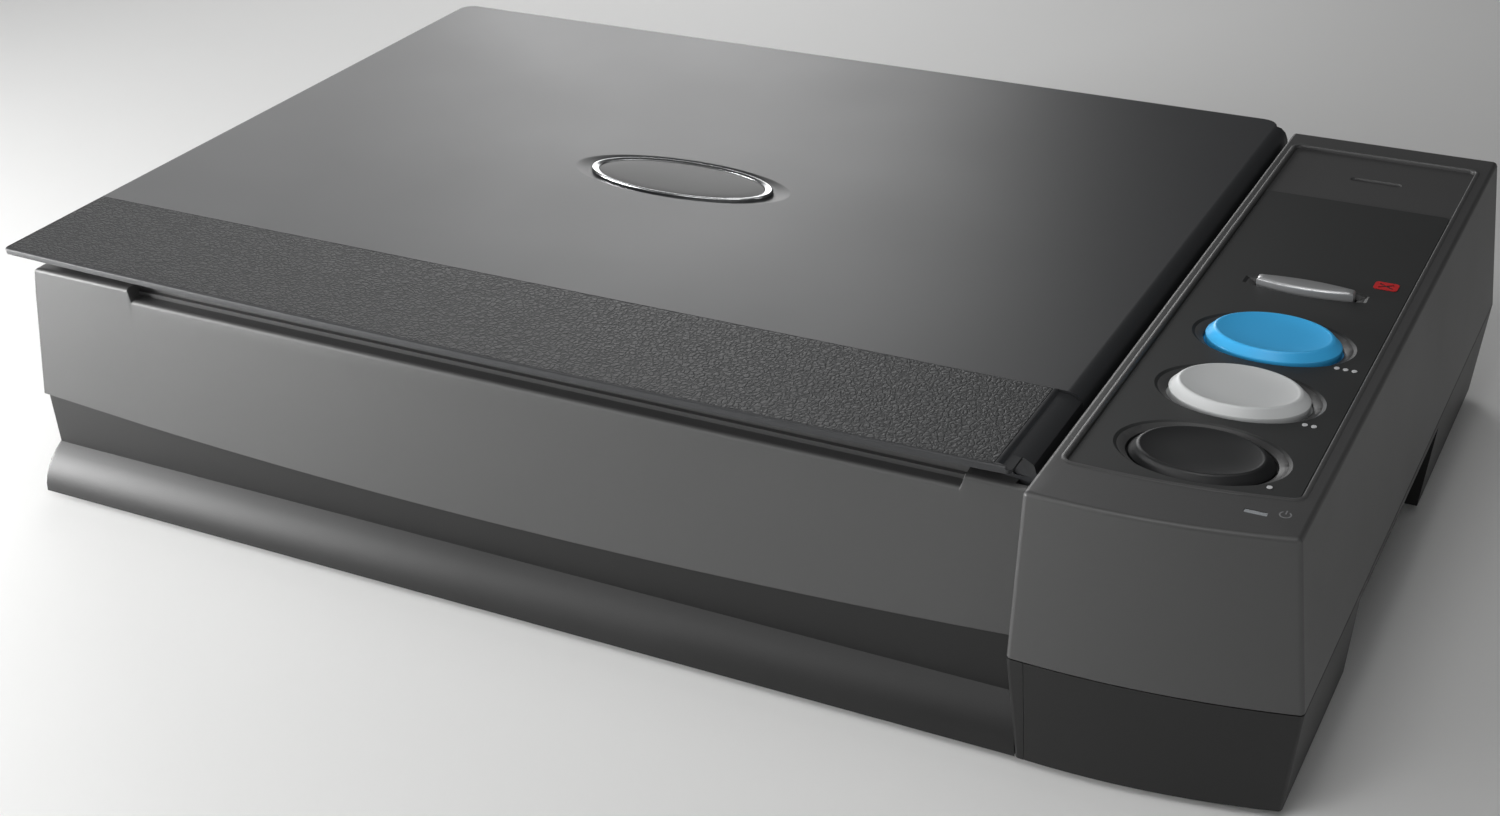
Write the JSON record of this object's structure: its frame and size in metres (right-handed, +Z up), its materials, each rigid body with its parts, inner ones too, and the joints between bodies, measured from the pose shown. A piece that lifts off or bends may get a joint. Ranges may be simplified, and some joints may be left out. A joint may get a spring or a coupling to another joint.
{
  "type": "flatbed scanner",
  "caption": "Flatbed book-edge scanner with a hinged lift-off lid, platen glass, belt-driven scan carriage and a control column with oval push buttons.",
  "frame": {"origin": "under the middle of the object, on the surface its rubber feet stand on", "axes": "+X to the right along the long side, +Y to the rear, +Z up"},
  "size_m": [0.4518, 0.2848, 0.0966],
  "materials": {
    "grey_shell": "spark-textured moulded ABS, charcoal grey",
    "black_shell": "spark-textured moulded ABS, near black",
    "lid_shell": "satin moulded ABS, anthracite",
    "grip_grain": "leather-grained moulded ABS",
    "bright_chrome": "bright plated",
    "badge_plate": "smooth gloss",
    "label_film": "fine matt polycarbonate film",
    "white_print": "screen print",
    "red_print": "screen print",
    "clear_window": "clear moulded",
    "circuit_board": "solder-masked laminate",
    "black_moulding": "moulded",
    "black_button": "satin moulded",
    "grey_button": "satin moulded",
    "blue_button": "satin moulded",
    "silver_button": "silver painted",
    "platen_glass": "polished float glass",
    "white_sheet": "matt white sheet",
    "steel": "plated",
    "mirror_glass": "front silvered",
    "nylon": "natural acetal",
    "belt_rubber": "toothed belt rubber",
    "foot_rubber": "moulded rubber"
  },
  "bodies": {
    "base": {"upper_housing": "grey_shell", "control_housing": "grey_shell", "lower_housing": "black_shell", "column_foot_cover": "black_shell", "control_label": "label_film", "label_marks": "white_print", "cancel_mark": "red_print", "led_window": "clear_window", "power_led": "clear_window", "control_board": "circuit_board", "key_switches": "black_moulding", "platen_glass": "platen_glass", "calibration_strip": "white_sheet", "hinge_sockets": "black_moulding", "guide_rod": "steel", "rod_holders": "nylon", "side_rail": "steel", "drive_belt": "belt_rubber", "drive_axles": "steel", "idler_bracket": "steel", "tension_spring": "steel", "motor_bracket": "steel", "step_motor": "steel", "home_sensor": "black_moulding", "main_board": "circuit_board", "board_screws": "steel", "flat_cable": "white_sheet", "port_board": "circuit_board", "usb_socket": "steel", "power_jack": "black_moulding", "rubber_feet": "foot_rubber", "housing_screws": "steel"},
    "hinge_posts": {"hinge_post_left": "black_moulding", "hinge_post_right": "black_moulding"},
    "lid": {"lid_shell": "lid_shell", "lid_grip_strip": "grip_grain", "badge_ring": "bright_chrome", "badge_plate": "badge_plate", "lid_inner_panel": "black_moulding", "lid_mat": "white_sheet", "lid_screws": "steel", "lid_hinge_ears": "black_moulding", "lid_hinge_pins": "steel"},
    "carriage": {"carriage_frame": "black_moulding", "carriage_lid": "black_moulding", "light_bar": "circuit_board", "light_lens": "clear_window", "mirrors": "mirror_glass", "scan_lens": "black_moulding", "sensor_board": "circuit_board", "carriage_bushes": "nylon", "belt_clamp": "nylon", "glide_pads": "nylon"},
    "drive_pulley": {"belt_pulley": "nylon"},
    "idler": {"idler_pulley": "nylon"},
    "pinion": {"motor_pinion": "nylon"},
    "button_black": {"black_button": "black_button"},
    "button_grey": {"grey_button": "grey_button"},
    "button_blue": {"blue_button": "blue_button"},
    "button_silver": {"silver_button": "silver_button"}
  },
  "joints": [
    {"name": "lid_lift", "type": "slide", "parent": "base", "child": "hinge_posts", "axis": [0, 0, 1], "range_m": [0, 0.02]},
    {"name": "lid_hinge", "type": "hinge", "parent": "hinge_posts", "child": "lid", "pos_m": [0, 0.1386, 0.086], "axis": [-1, 0, 0], "range_deg": [0, 90]},
    {"name": "carriage_slide", "type": "slide", "parent": "base", "child": "carriage", "axis": [1, 0, 0], "range_m": [0, 0.3]},
    {"name": "pulley_spin", "type": "hinge", "parent": "base", "child": "drive_pulley", "pos_m": [0.133, 0.07, 0.01], "axis": [0, 0, 1], "continuous": true},
    {"name": "idler_spin", "type": "hinge", "parent": "base", "child": "idler", "pos_m": [-0.208, 0.07, 0.016], "axis": [0, 0, 1], "continuous": true},
    {"name": "pinion_spin", "type": "hinge", "parent": "base", "child": "pinion", "pos_m": [0.15725, 0.07, 0.01], "axis": [0, 0, 1], "continuous": true},
    {"name": "black_press", "type": "slide", "parent": "base", "child": "button_black", "axis": [0, 0, -1], "range_m": [0, 0.0015], "stiffness_N_per_m": 300, "springref_m": -0.001},
    {"name": "grey_press", "type": "slide", "parent": "base", "child": "button_grey", "axis": [0, 0, -1], "range_m": [0, 0.0015], "stiffness_N_per_m": 300, "springref_m": -0.001},
    {"name": "blue_press", "type": "slide", "parent": "base", "child": "button_blue", "axis": [0, 0, -1], "range_m": [0, 0.0015], "stiffness_N_per_m": 300, "springref_m": -0.001},
    {"name": "silver_press", "type": "slide", "parent": "base", "child": "button_silver", "axis": [0, 0, -1], "range_m": [0, 0.0015], "stiffness_N_per_m": 300, "springref_m": -0.001}
  ],
  "couplings": [
    {"joint": "pulley_spin", "follows": "carriage_slide", "rad_per_m": -123.46},
    {"joint": "idler_spin", "follows": "carriage_slide", "rad_per_m": -123.46},
    {"joint": "pinion_spin", "follows": "carriage_slide", "rad_per_m": 370.37}
  ]
}
